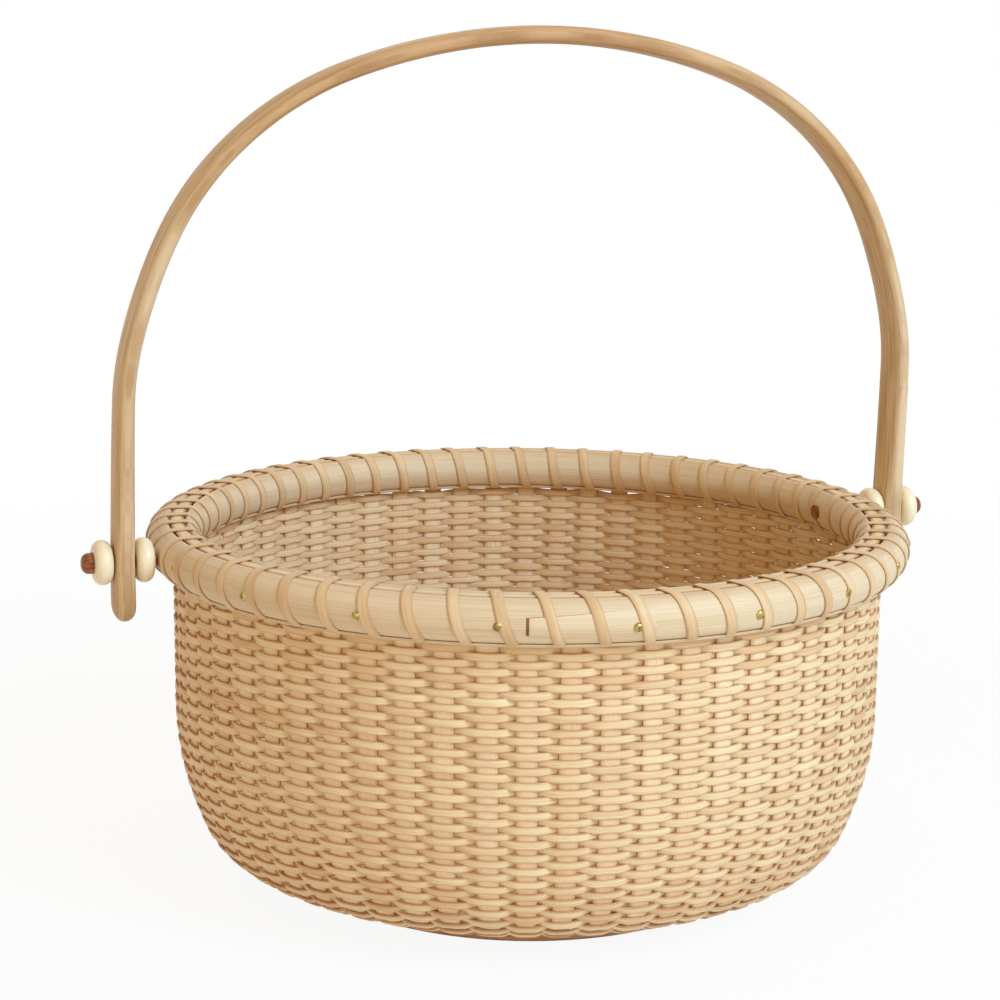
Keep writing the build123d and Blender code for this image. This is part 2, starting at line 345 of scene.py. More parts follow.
def addPiece(name, mesh, material, body, nodes):
    piece = bpy.data.objects.new(name, mesh)
    bpy.context.collection.objects.link(piece)
    mesh.materials.append(material)
    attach(piece, body)
    if nodes:
        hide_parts(*nodes)
    print("made", name, "with", len(mesh.polygons), "faces")
    return piece


# The wall's line, from the base's edge along the floor, round the corner and up
wall = {
    "staves": 60,
    "skin": 1.7 * mm,          # from the middle of a stave to the outside of the frame's weave
    "floorMiddle": 10.4 * mm,
    "cornerRadius": 16 * mm,
    "cornerTurn": math.radians(65.5),
    "flankRadius": 88.5 * mm,
    "staveStray": math.radians(0.14),  # by how much hand-set staves miss their places
    "staveLean": math.radians(0.35),
    "leanAbout": 0.7,          # how far up the wall a leaning stave keeps its place
}
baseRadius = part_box("base_disc")[1][0]
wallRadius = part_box("upper_weave")[1][0] - wall["skin"]
flankCentre = wallRadius - wall["flankRadius"]
armLength = wall["flankRadius"] - wall["cornerRadius"]
cornerCentre = flankCentre + armLength * math.sin(wall["cornerTurn"])
cornerHeight = wall["floorMiddle"] + wall["cornerRadius"]
flankHeight = cornerHeight + armLength * math.cos(wall["cornerTurn"])
cornerStart = cornerCentre - baseRadius
flankStart = cornerStart + wall["cornerRadius"] * wall["cornerTurn"]
flankTurn = math.pi / 2 - wall["cornerTurn"]
uprightStart = flankStart + wall["flankRadius"] * flankTurn
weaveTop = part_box("upper_weave")[1][2]
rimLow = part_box("outer_rim_hoop")[0][2]
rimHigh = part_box("outer_rim_hoop")[1][2]
rimMiddle = (rimLow + rimHigh) / 2
rimHalf = (rimHigh - rimLow) / 2
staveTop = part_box("staves")[1][2]
wallLength = uprightStart + weaveTop - flankHeight
pitch = 2 * math.pi / wall["staves"]


def wallLine(distance):
    turn = np.clip((distance - cornerStart) / wall["cornerRadius"], 0, wall["cornerTurn"])
    turn = turn + np.clip((distance - flankStart) / wall["flankRadius"], 0, flankTurn)
    onFloor = distance < cornerStart
    inCorner = distance < flankStart
    onFlank = distance < uprightStart
    corner = cornerCentre + wall["cornerRadius"] * np.sin(turn)
    flank = flankCentre + wall["flankRadius"] * np.sin(turn)
    radius = np.where(onFloor, baseRadius + distance, np.where(inCorner, corner, flank))
    cornerZ = cornerHeight - wall["cornerRadius"] * np.cos(turn)
    flankZ = flankHeight - wall["flankRadius"] * np.cos(turn)
    upZ = flankHeight + distance - uprightStart
    height = np.where(inCorner, cornerZ, np.where(onFlank, flankZ, upZ))
    return radius, height, turn


stray = dice.normal(0, wall["staveStray"], wall["staves"])
lean = dice.normal(0, wall["staveLean"], wall["staves"])
besidePeg = [0, wall["staves"] // 2 - 1, wall["staves"] // 2, wall["staves"] - 1]
stray[besidePeg] = 0
lean[besidePeg] = 0


# Heading of a stave's middle at a distance up the wall
def staveHeading(number, distance):
    rest = np.mod(number, wall["staves"]).astype(int)
    leaning = lean[rest] * (distance / wallLength - wall["leanAbout"])
    return (number + 0.5) * pitch + stray[rest] + leaning


def around(radius, heading, height):
    return np.stack([radius * np.cos(heading), radius * np.sin(heading), height], axis=-1)


# An outline turned round the upright axis, with its fibres measured out at the given radius
def turnedMesh(name, radius, height, stations, fibreRadius, across):
    heading = np.linspace(0, 2 * math.pi, stations + 1)
    heights = np.broadcast_to(height, (stations, len(height)))
    rings = around(radius[None, :], heading[:-1, None], heights)
    return sweptMesh(name, rings[None], True, heading[None] * fibreRadius / mm, across)


# Staves
staveShape = {
    "halfWidth": 3.0 * mm,
    "tailHalfWidth": 2.15 * mm,
    "halfThickness": 0.6 * mm,
    "tail": 7.9 * mm,     # how far the stave goes into the base
    "widthStray": 0.025,
    "widthLimit": 0.05,
    "stations": 44,
    "sides": 12,
    "roundness": 0.72,
}
staveFinish = {
    "tones": ((244, 223, 184), (241, 217, 176), (237, 210, 166), (230, 197, 151)),
    "driftShare": 0.45,
    "streak": (206, 162, 116), "streakShare": 0.1,
    # Painted shade: the colour and share by which a stave darkens towards its edges, beside the rows
    # crossing it.
    "soil": (176, 92, 46), "edgeShare": 0.26,
    "fleck": (104, 58, 32), "fleckShare": 0.45,
    "fibreLength": 26.0, "fineness": 2.2, "halfWidth": 3.0,
    "roughest": 0.62, "smoothest": 0.46, "coat": 0.02, "sheen": 0.15, "bump": 0.00002,
}


def makeStaves():
    count = wall["staves"]
    top = uprightStart + staveTop - flankHeight
    distance = np.linspace(-staveShape["tail"], top, staveShape["stations"])
    radius, height, turn = wallLine(distance)
    across, out = superSection(staveShape, 1.0)
    grown = np.clip((distance + staveShape["tail"]) / (flankStart + staveShape["tail"]), 0, 1)
    half = staveShape["tailHalfWidth"] + (staveShape["halfWidth"] - staveShape["tailHalfWidth"]) * grown
    numbers = np.arange(count)[:, None, None]
    limit = staveShape["widthLimit"]
    widths = 1 + np.clip(dice.normal(0, staveShape["widthStray"], (count, 1, 1)), -limit, limit)
    ringRadius = radius[:, None] + np.sin(turn)[:, None] * out
    ringHeight = height[:, None] - np.cos(turn)[:, None] * out
    heading = staveHeading(numbers, distance[None, :, None])
    sideways = half[None, :, None] * widths * across[None, None, :]
    rings = around(ringRadius[None], heading, np.broadcast_to(ringHeight, (count,) + ringHeight.shape))
    rings[..., 0] -= sideways * np.sin(heading)
    rings[..., 1] += sideways * np.cos(heading)
    along = np.broadcast_to(distance / mm, (count, len(distance)))
    mesh = sweptMesh("staves", rings, False, along, across * staveShape["halfWidth"] / mm)
    material = stripMaterial("staveCane", staveFinish)
    addPiece("caneStaves", mesh, material, "basket", ["staves"])


makeStaves()

# Woven rows, each a closed ring over and under the staves
weave = {
    "rows": 54,
    "halfWidth": 1.06 * mm,
    "halfThickness": 0.4 * mm,
    "topGap": 1.05 * mm,   # under the hoops
    "swing": 1.02 * mm,    # how far the cane's middle stands off the wall's middle over a stave
    "riseFrom": -0.86, "riseTo": -0.2,   # where the cane comes out and goes in again, in staves
    "fallFrom": 0.22, "fallTo": 0.86,
    "stitchRise": 0.02 * mm,
    "gapWidening": 0.08,   # midway between two staves, where the rows change over
    "besideWidening": 0.1,
    "widthStray": 0.03,
    "topWander": 0.3 * mm,  # the last row was pushed up less evenly
    "wander": 0.06 * mm,
    "tilt": math.radians(7),
    "stations": (0.0, 0.24, 0.4, 0.52, 0.64, 0.78),   # from one stave to the next
    "sides": 8,
    "roundness": 0.4,
}
weaveFinish = {
    "tones": ((240, 220, 177), (235, 212, 167), (237, 215, 171), (231, 205, 160), (224, 190, 144)),
    "driftShare": 0.5,
    "streak": (208, 166, 112), "streakShare": 0.3,
    # Painted shade: the colour and share by which a row darkens towards its edges, in the gaps between
    # rows.
    "soil": (178, 94, 44), "edgeShare": 0.45,
    "fleck": (128, 76, 40), "fleckShare": 0.3,
    "fibreLength": 16.0, "fineness": 3.0, "halfWidth": 1.06,
    "roughest": 0.58, "smoothest": 0.42, "coat": 0.03, "sheen": 0.15, "bump": 0.00003,
}


# From -1 behind the staves to 1 in front of them, over stave 0 and behind stave 1
def passing(number):
    phase = (number + 1) % 2 - 1
    rise = eased((phase - weave["riseFrom"]) / (weave["riseTo"] - weave["riseFrom"]))
    fall = eased((phase - weave["fallFrom"]) / (weave["fallTo"] - weave["fallFrom"]))
    return 2 * (rise - fall) - 1


# One random value for each row at each stave, eased in between
def perStave(number, size):
    values = dice.normal(0, size, (weave["rows"], wall["staves"]))
    lower = np.floor(number).astype(int)
    share = (1 - np.cos(np.pi * (number - lower))) / 2
    return values[:, lower] * (1 - share) + values[:, (lower + 1) % wall["staves"]] * share


# How wide each row is along its way, as a share of the usual width
def rowWidths(number):
    widths = 1 + dice.normal(0, weave["widthStray"], (weave["rows"], 1))
    widths = widths + weave["gapWidening"] * np.sin(np.pi * number) ** 2
    return widths + weave["besideWidening"] * np.sin(2 * np.pi * number) ** 2


def makeWeave():
    rows = weave["rows"]
    top = uprightStart + rimLow - weave["topGap"] - flankHeight
    distance = np.linspace(weave["halfWidth"], top - weave["halfWidth"], rows)[:, None]
    number = np.add.outer(np.arange(wall["staves"]), weave["stations"]).ravel()
    radius, height, turn = wallLine(distance)
    odd = (np.arange(rows) % 2)[:, None]
    inOut = weave["swing"] * passing(number + odd)
    upDown = weave["stitchRise"] * np.sin(np.pi * (number + odd)) + perStave(number, weave["wander"])
    upDown[-1] -= np.abs(perStave(number, weave["topWander"])[-1])
    tipped = perStave(number, weave["tilt"])[..., None]
    lower = np.floor(number)
    share = number - lower
    heading = staveHeading(lower, distance) * (1 - share) + staveHeading(lower + 1, distance) * share
    across, out = superSection(weave, weave["halfWidth"])
    wide = rowWidths(number)[..., None] * across
    upShift = upDown[..., None] + wide * np.cos(tipped) - out * np.sin(tipped)
    outShift = inOut[..., None] + wide * np.sin(tipped) + out * np.cos(tipped)
    slopeSin = np.sin(turn)[..., None]
    slopeCos = np.cos(turn)[..., None]
    ringRadius = radius[..., None] + outShift * slopeSin + upShift * slopeCos
    ringHeight = height[..., None] - outShift * slopeCos + upShift * slopeSin
    rings = around(ringRadius, heading[..., None], ringHeight)
    along = radius * pitch * np.append(number, wall["staves"]) / mm
    material = stripMaterial("weaverCane", weaveFinish)
    split = int(np.sum(height[:, 0] < flankHeight))
    for name, part, node in (
        ("lowerRows", slice(0, split), "lower_weave"),
        ("upperRows", slice(split, rows), "upper_weave"),
    ):
        mesh = sweptMesh(name, rings[part], True, along[part], across / mm)
        addPiece(name, mesh, material, "basket", [node])


makeWeave()

# Rim: two half-round hoops that clasp the stave ends
rim = {
    "shoulder": 2.75 * mm,
    "faceGap": 0.75 * mm,     # from the middle of the staves to a hoop's flat face
    "innerThickness": 6.2 * mm,
    "bevel": 2.4 * mm,
    "lip": 0.9 * mm,          # thin edge below the round of the hoop
    "lipInset": 0.5 * mm,
    "edgeRound": 0.3 * mm,
    "crease": 0.8 * mm,        # the groove above that edge: its depth and height
    "creaseHeight": 0.5 * mm,
    "domePoints": 18,
    "stations": 360,
}
scarf = {
    "heading": math.radians(248.9),
    "length": math.radians(17),
    "step": 0.45 * mm,
    "endBevel": math.radians(0.4),
    "endHalf": 2.4 * mm,      # half the height of the lap at its end, and where it runs out
    "farHalf": 4.4 * mm,
    "sunk": 0.3 * mm,
    "stations": 40,
    "rows": 9,
}
rimFinish = {
    "tones": ((230, 212, 178), (225, 205, 169), (219, 196, 158)),
    "driftShare": 0.8,
    "streak": (198, 164, 122), "streakShare": 0.25,
    # Painted shade: the colour and share by which a hoop darkens towards its top and bottom edges.
    "soil": (186, 142, 96), "edgeShare": 0.2,
    "fleck": (150, 104, 66), "fleckShare": 0.25,
    "fibreLength": 44.0, "fineness": 3.4, "halfWidth": 6.4,
    "roughest": 0.6, "smoothest": 0.44, "coat": 0.03, "sheen": 0.25, "bump": 0.00004,
}
# A dark finish for the scarf's end and edges: a painted shade line.
scarfShadeFinish = dict(rimFinish, tones=((150, 108, 68), (128, 88, 54)), bump=0.0)
outerFace = wallRadius + rim["faceGap"]
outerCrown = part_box("outer_rim_hoop")[1][1]
innerFace = wallRadius - rim["faceGap"]
innerCrown = innerFace - rim["innerThickness"]


# The round side of a hoop: the dome's centre and its radius
def domeOf(face, crown):
    rise = abs(crown - face) - rim["shoulder"]
    dome = (rise**2 + rimHalf**2) / (2 * rise)
    return crown - math.copysign(dome, crown - face), dome


def hoopOutline(face, crown):
    side = math.copysign(1, crown - face)
    centre, dome = domeOf(face, crown)
    lipTop = rimLow + rim["lip"]
    start = math.asin((rimMiddle - lipTop - rim["creaseHeight"]) / dome)
    angles = np.linspace(-start, math.asin(rimHalf / dome), rim["domePoints"])
    edge = centre + side * (dome * math.cos(start) - rim["lipInset"])
    radius = [face, edge - side * rim["edgeRound"], edge, edge, edge - side * rim["crease"]]
    height = [rimLow, rimLow, rimLow + rim["edgeRound"], lipTop, lipTop]
    radius += [*(centre + side * dome * np.cos(angles)), face + side * rim["bevel"], face]
    height += [*(rimMiddle + dome * np.sin(angles)), rimHigh, rimHigh - rim["bevel"]]
    return np.array(radius), np.array(height)


def makeHoop(name, face, crown, material, node):
    radius, height = hoopOutline(face, crown)
    mesh = turnedMesh(name, radius, height, rim["stations"], face, (height - rimMiddle) / mm)
    addPiece(name, mesh, material, "basket", [node])


# The outer hoop's end, lapped over its start and planed away to nothing
def makeScarf(material, scarfShade):
    centre, dome = domeOf(outerFace, outerCrown)
    share = np.linspace(0, 1, scarf["stations"])
    depth = np.append(0, scarf["step"] * (1 - share))[:, None]
    heading = scarf["heading"] + np.append(-scarf["endBevel"], share * scarf["length"])[:, None]
    halfHeight = scarf["endHalf"] + (scarf["farHalf"] - scarf["endHalf"]) * np.append(0, share)[:, None]
    upward = np.linspace(-1, 1, scarf["rows"]) * halfHeight
    outside = centre + np.sqrt((dome + depth) ** 2 - upward**2)
    inside = centre + np.sqrt((dome - scarf["sunk"]) ** 2 - upward**2) + 0 * depth
    radius = np.concatenate([outside, inside[:, ::-1]], axis=1)
    height = rimMiddle + np.concatenate([upward, upward[:, ::-1]], axis=1)
    along = (heading - scarf["heading"]).T * outerCrown / mm
    across = np.concatenate([upward[0], upward[0, ::-1]]) / mm
    mesh = sweptMesh("hoopScarf", around(radius, heading, height)[None], False, along, across)
    addPiece("hoopScarf", mesh, material, "basket", [])
    mesh.materials.append(scarfShade)
    # The lap's bevelled end and its upper and lower edges take the dark finish, a painted shade line.
    sides = 2 * scarf["rows"]
    for place in range(scarf["stations"] * sides):
        atEnd = place < sides
        atEdge = place % sides in (scarf["rows"] - 1, sides - 1)
        if atEnd or atEdge:
            mesh.polygons[place].material_index = 1


def makeHoops():
    material = stripMaterial("rimWood", rimFinish)
    makeHoop("innerHoop", innerFace, innerCrown, material, "inner_rim_hoop")
    makeHoop("outerHoop", outerFace, outerCrown, material, "outer_rim_hoop")
    makeScarf(material, stripMaterial("glueLine", scarfShadeFinish))


makeHoops()

# Filler over the stave ends, in the groove between the hoops
filler = {
    "halfTop": 2.1 * mm,
    "halfBottom": 0.62 * mm,
    "depth": 1.6 * mm,
    "crown": 0.35 * mm,
    "topPoints": (-1.0, -0.6, 0.0, 0.6, 1.0),
}
# The filler darkens more towards its edges: painted shade, and dirt, in the seams beside the hoops.
fillerFinish = dict(weaveFinish, halfWidth=1.9, edgeShare=0.75, fibreLength=24.0)


def makeFiller():
    across = np.array(filler["topPoints"]) * filler["halfTop"]
    height = rimHigh - filler["crown"] * (across / filler["halfTop"]) ** 2
    across = np.append(across, [filler["halfBottom"], -filler["halfBottom"]])
    height = np.append(height, [rimHigh - filler["depth"]] * 2)
    mesh = turnedMesh("filler", wallRadius + across, height, rim["stations"], wallRadius, across / mm)
    material = stripMaterial("fillerCane", fillerFinish)
    addPiece("rimFiller", mesh, material, "basket", ["rim_filler"])


makeFiller()

# Lashing: one strip round both hoops, with a turn for each stave
lashing = {
    "halfWidth": 1.6 * mm,
    "halfThickness": 0.28 * mm,
    "stand": 0.31 * mm,         # from the wood to the middle of the strip
    "slant": 0.3,               # how much more it gains outside, low down, than inside
    "slantAt": 0.85,
    "ahead": 0.5,               # of the pitch, at the front and back; nothing at the pegs
    "besidePeg": 0.15,          # keeps the turn after a peg clear of its inner end
    "besideWasher": 0.28,       # and the turn before a peg clear of its washer
    "startTurn": 15,            # the strip starts and ends at the back
    "stations": 30,
    "sidePoints": 40,
    "loopPoints": 480,
    "blur": 1.1 * mm,           # rounds the loop where it leaves one hoop for the other
    "blurPoints": 30,
    "sides": 12,
    "roundness": 0.62,
    "stray": math.radians(0.12),
}
lashingFinish = {
    "tones": ((232, 209, 166), (227, 200, 155), (220, 189, 143), (210, 176, 130)),
    "driftShare": 0.6,
    "streak": (204, 162, 108), "streakShare": 0.25,
    # Painted shade: the colour and share by which the lashing darkens along both sides of each turn.
    "soil": (164, 102, 54), "edgeShare": 0.35,
    "fleck": (128, 80, 44), "fleckShare": 0.25,
    "fibreLength": 12.0, "fineness": 3.0, "halfWidth": 1.6,
    "roughest": 0.54, "smoothest": 0.38, "coat": 0.05, "sheen": 0.25, "bump": 0.00003,
}


# By how many pitches the lashing runs ahead of even turns there
def lashingDrift(turn):
    return lashing["ahead"] * np.sin(turn * pitch) ** 2


# The round side of a hoop, from its bottom up, with room for the lashing
def lashingSide(face, crown):
    centre, dome = domeOf(face, crown)
    reach = dome + lashing["stand"]
    opening = math.asin((rimHalf + lashing["stand"]) / reach)
    angles = np.linspace(-1, 1, lashing["sidePoints"]) * opening
    radius = centre + math.copysign(1, crown - face) * reach * np.cos(angles)
    return np.stack([radius, rimMiddle + reach * np.sin(angles)], axis=-1)


def evenly(line, count):  # a closed line through even steps
    line = np.concatenate([line, line[:1]])
    gone = lengthAlong(line)
    steps = np.linspace(0, gone[-1], count, endpoint=False)
    return np.stack([np.interp(steps, gone, line[:, axis]) for axis in (0, 1)], axis=-1), gone[-1] / count


# One turn round both hoops: up inside, over the top, down outside
def lashingLoop():
    inside = lashingSide(innerFace, innerCrown)
    outside = lashingSide(outerFace, outerCrown)[::-1]
    line, step = evenly(np.concatenate([inside, outside]), lashing["loopPoints"])
    offsets = np.arange(-lashing["blurPoints"], lashing["blurPoints"] + 1)
    weights = np.exp(-((offsets * step / lashing["blur"]) ** 2))
    weights /= weights.sum()
    line = sum(weight * np.roll(line, -offset, axis=0) for weight, offset in zip(weights, offsets))
    line = evenly(line, lashing["stations"])[0]
    ahead = np.roll(line, -1, axis=0) - np.roll(line, 1, axis=0)
    out = np.stack([-ahead[:, 1], ahead[:, 0]], axis=-1)
    return line, out / np.linalg.norm(out, axis=1, keepdims=True)


# Headings along the whole strip, with the turns beside the pegs moved clear of them
def lashingHeadings():
    count = wall["staves"]
    share = np.arange(lashing["stations"]) / lashing["stations"]
    start = lashing["slantAt"]
    gain = np.sin(2 * np.pi * (share - start)) + math.sin(2 * math.pi * start)
    gain = share + lashing["slant"] / (2 * np.pi) * gain
    inside = np.sin(2 * np.pi * np.clip(share, 0, 0.5)) ** 2
    outside = np.sin(2 * np.pi * np.clip(share - 0.5, 0, 0.5)) ** 2
    misses = dice.normal(0, lashing["stray"], count) / pitch
    turns = []
    for turn in range(lashing["startTurn"], lashing["startTurn"] + count):
        place = turn + gain
        afterPeg = turn % (count // 2) == 0
        beforePeg = (turn + 1) % (count // 2) == 0
        if afterPeg:
            place = place + lashing["besidePeg"] * inside
        if beforePeg:
            place = place - lashing["besideWasher"] * outside
        if not (afterPeg or beforePeg):
            place = place + misses[turn % count] * np.sin(np.pi * share) ** 2
        turns.append(place + lashingDrift(place))
    return np.concatenate(turns) * pitch


def makeLashing():
    line, out = lashingLoop()
    line = np.tile(line, (wall["staves"], 1))
    out = np.tile(out, (wall["staves"], 1))
    heading = lashingHeadings()
    centre = around(line[:, 0], heading, line[:, 1])
    outward = around(out[:, 0], heading, out[:, 1])
    ahead = np.gradient(centre, axis=0)
    ahead /= np.linalg.norm(ahead, axis=1, keepdims=True)
    aside = np.cross(ahead, outward)
    aside /= np.linalg.norm(aside, axis=1, keepdims=True)
    across, thick = superSection(lashing, lashing["halfWidth"])
    rings = centre[:, None] + aside[:, None] * across[:, None] + outward[:, None] * thick[:, None]
    along = lengthAlong(centre)[None] / mm
    mesh = sweptMesh("lashing", rings[None], False, along, across / mm)
    material = stripMaterial("lashingCane", lashingFinish)
    addPiece("rimLashing", mesh, material, "basket", ["rim_lashing"])


makeLashing()

# Brass nails through the outer hoop, one at every third turn of the lashing
nails = {
    "radius": 1.3 * mm,
    "stand": 0.75 * mm,
    "every": 3,
    "firstTurn": 1,
    "besideTurn": 0.41,    # share of the pitch from a turn's foot to the nail
    "stray": 0.03,
    "heightStray": 0.5 * mm,
    "profile": ((1.0, -0.6), (1.0, 0.12), (0.93, 0.42), (0.72, 0.74), (0.42, 0.93), (0.14, 1.0)),
    "sides": 20,
    "brass": (192, 166, 98),
    "tarnish": (112, 90, 46),
}


def nailMaterial():
    material, tree, shader = startMaterial("nailBrass", Metallic=1.0)
    place = nodePlace(tree)
    cloud = addNode(tree, "ShaderNodeTexNoise", {"Vector": place, "Scale": 0.9, "Detail": 4.0}).outputs[0]
    dull = spread(tree, cloud, 0.42, 0.66, 0.0, 0.8)
    colour = blendColour(tree, dull, paint(*nails["brass"]), paint(*nails["tarnish"]))
    tree.links.new(colour, shader.inputs["Base Color"])
    tree.links.new(spread(tree, cloud, 0.3, 0.7, 0.24, 0.46), shader.inputs["Roughness"])
    return material


def makeNails():
    build = bmesh.new()
    angles = np.linspace(0, 2 * math.pi, nails["sides"], endpoint=False)
    for turn in range(nails["firstTurn"], wall["staves"], nails["every"]):
        place = turn + nails["besideTurn"] + dice.normal(0, nails["stray"])
        heading = (place + lashingDrift(place)) * pitch
        height = rimMiddle + dice.normal(0, nails["heightStray"])
        out = Vector((math.cos(heading), math.sin(heading), 0))
        aside = Vector((-math.sin(heading), math.cos(heading), 0))
        foot = out * outerCrown + Vector((0, 0, height))
        rings = []
        for wide, high in nails["profile"]:
            spots = []
            for angle in angles:
                flat = aside * math.cos(angle) + Vector((0, 0, math.sin(angle)))
                spot = foot + flat * wide * nails["radius"] + out * high * nails["stand"]
                spots.append(build.verts.new(spot))
            rings.append(spots)
        for lower, upper in zip(rings, rings[1:]):
            for side in range(nails["sides"]):
                after = (side + 1) % nails["sides"]
                build.faces.new((lower[side], lower[after], upper[after], upper[side]))
        build.faces.new(rings[-1])
        build.faces.new(rings[0][::-1])
    mesh = bpy.data.meshes.new("rimNails")
    build.to_mesh(mesh)
    build.free()
    mesh.polygons.foreach_set("use_smooth", [True] * len(mesh.polygons))
    mesh.set_sharp_from_angle(angle=sharpAngle)
    addPiece("rimNails", mesh, nailMaterial(), "basket", [])


makeNails()

# Bail
bail = {
    "halfThickness": 2.7 * mm,
    "halfWidth": 6.75 * mm,
    "shoulderInset": 26.5 * mm,
    "crownRadius": 180 * mm,
    "bowDepth": 1.5 * mm,      # how far the arms draw in below the shoulders
    "bowHeight": 187 * mm,
    "bowSpread": 24 * mm,
    "lean": 3.4 * mm,          # how far the crown stands to the right of the pegs' middle
    "endRound": 4.6 * mm,
    "endClear": 0.02 * mm,     # keeps the end's first ring from closing to a point
    "flare": 0.2,              # by how much the arms thicken towards their ends
    "flareLength": 75 * mm,
    "boreRadius": 2.33 * mm,
    "boreSides": 32,
    "drillSpare": 5 * mm,      # how far the drill comes out at each side
    "grainStart": 260,         # millimetres; puts the paler wood in the left arm
    "armStations": 26,
    "shoulderStations": 44,
    "crownStations": 40,
    "sides": 28,
    "roundness": 0.72,
}
bailFinish = {
    "tones": ((223, 199, 160), (217, 190, 147), (210, 179, 133), (198, 158, 110)),
    "driftShare": 0.9,
    "streak": (184, 142, 98), "streakShare": 0.5,
    # Painted shade: the colour and share by which the bail darkens towards its rounded sides.
    "soil": (176, 136, 94), "edgeShare": 0.15,
    "fleck": (128, 84, 50), "fleckShare": 0.25,
    "fibreLength": 24.0, "fineness": 1.4, "halfWidth": 6.75,
    "roughest": 0.6, "smoothest": 0.44, "coat": 0.04, "sheen": 0.25, "bump": 0.00005,
}


# The bail's middle line in its own plane, from the left end over the top to the right end
def bailLine():
    low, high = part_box("bail_handle")
    reach = high[0] - bail["halfThickness"]
    top = high[2] - bail["halfThickness"]
    inset = bail["shoulderInset"]
    shoulder = reach - inset
    turn = math.acos(inset / (bail["crownRadius"] - shoulder))
    crownHeight = top - bail["crownRadius"]
    spring = crownHeight + (bail["crownRadius"] - shoulder) * math.sin(turn)
    ease = 1 - np.cos(np.linspace(0, math.pi / 2, bail["armStations"]))
    armHeight = low[2] + bail["endClear"] + (spring - low[2]) * ease
    arm = np.stack([np.full(len(armHeight), reach), armHeight], axis=-1)
    bend = np.linspace(0, turn, bail["shoulderStations"])[1:]
    curve = np.stack([inset + shoulder * np.cos(bend), spring + shoulder * np.sin(bend)], axis=-1)
    arch = np.linspace(turn, math.pi / 2, bail["crownStations"])[1:]
    crown = np.stack([np.cos(arch), np.sin(arch)], axis=-1) * bail["crownRadius"]
    crown[:, 1] += crownHeight
    half = np.concatenate([arm, curve, crown])
    fromBow = (half[:, 1] - bail["bowHeight"]) / bail["bowSpread"]
    half[:, 0] -= bail["bowDepth"] * np.exp(-(fromBow**2))
    other = half[:-1] * np.array([-1, 1])
    line = np.concatenate([other, half[::-1]])
    line[:, 0] += bail["lean"] * np.clip((line[:, 1] - rimMiddle) / (top - rimMiddle), 0, 1)
    return line


def boreBail(piece):
    drill = bmesh.new()
    turned = Matrix.Translation((0, 0, rimMiddle)) @ Matrix.Rotation(math.pi / 2, 4, "Y")
    length = 2 * (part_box("bail_handle")[1][0] + bail["drillSpare"])
    bore = bail["boreRadius"]
    bmesh.ops.create_cone(drill, cap_ends=True, segments=bail["boreSides"], radius1=bore, radius2=bore,
                          depth=length, matrix=turned)
    mesh = bpy.data.meshes.new("bailDrill")
    drill.to_mesh(mesh)
    drill.free()
    cutter = bpy.data.objects.new("bailDrill", mesh)
    bpy.context.collection.objects.link(cutter)
    cut = piece.modifiers.new("bore", "BOOLEAN")
    cut.object = cutter
    cut.operation = "DIFFERENCE"
    cut.solver = "EXACT"
    bored = bpy.data.meshes.new_from_object(piece.evaluated_get(bpy.context.evaluated_depsgraph_get()))
    piece.modifiers.clear()
    piece.data = bored
    bpy.data.objects.remove(cutter)


def makeBail():
    line = bailLine()
    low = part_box("bail_handle")[0]
    ahead = np.gradient(line, axis=0)
    ahead /= np.linalg.norm(ahead, axis=1, keepdims=True)
    outward = np.stack([-ahead[:, 1], ahead[:, 0]], axis=-1)
    across, out = superSection(bail, bail["halfWidth"])
    fromEnd = line[:, 1:] - low[2]
    rounded = np.sqrt(1 - (1 - np.clip(fromEnd / bail["halfWidth"], 0, 1)) ** 2)  # half a circle
    out = out * np.sqrt(1 - (1 - np.clip(fromEnd / bail["endRound"], 0, 1)) ** 2)
    out = out * (1 + bail["flare"] * np.clip(1 - fromEnd / bail["flareLength"], 0, 1))
    rings = np.zeros((len(line), bail["sides"], 3))
    rings[..., 0] = line[:, :1] + outward[:, :1] * out
    rings[..., 1] = rounded * across
    rings[..., 2] = line[:, 1:] + outward[:, 1:] * out
    along = lengthAlong(line)[None] / mm + bail["grainStart"]
    mesh = sweptMesh("bail", rings[None], False, along, across / mm)
    material = stripMaterial("bailWood", bailFinish)
    piece = addPiece("bentBail", mesh, material, "bail", ["bail_handle"])
    boreBail(piece)


makeBail()

# Turned base, with the groove that holds the staves
base = {
    "edgeRound": 1.5 * mm,
    "grooveHalf": 0.7 * mm,
    "grooveDepth": 8 * mm,
    "flatRings": (0.8, 0.5, 0.2, 0.004),  # shares of the radius
    "roundPoints": 6,
    "stations": 240,
    "light": (230, 192, 154),
    "dark": (206, 156, 118),
    "soil": (180, 122, 82), "fleckShare": 0.4,
    "wornShare": 0.7, "wornFrom": 0.2, "wornTo": 1.6,  # from the underside up, in millimetres
    "fibreLength": 40.0, "fineness": 0.8,
    "roughest": 0.62, "smoothest": 0.44, "bump": 0.00012,
}


def baseMaterial():
    material, tree, shader = startMaterial(
        "baseWood", Coat_Weight=0.05, Coat_Roughness=0.4, Specular_IOR_Level=0.25)
    fibres = addFibres(tree, nodePlace(tree, upward=0.1), base["fibreLength"], base["fineness"])
    colour = ramp(tree, fibres["Streak"], (0.1, paint(*base["dark"])), (0.8, paint(*base["light"])))
    colour = stainAndShade(tree, colour, fibres["Fleck"], base["fleckShare"], base["soil"])
    height = addNode(tree, "ShaderNodeSeparateXYZ", {0: nodePlace(tree)}).outputs[2]
    # The wood darkens towards its underside, up to the given height above it.
    underDark = spread(tree, height, base["wornFrom"], base["wornTo"], base["wornShare"], 0.0)
    colour = blendColour(tree, underDark, colour, paint(*base["soil"]))
    dress(tree, shader, colour, fibres["Streak"], base, bumpStrength=0.6)
    return material


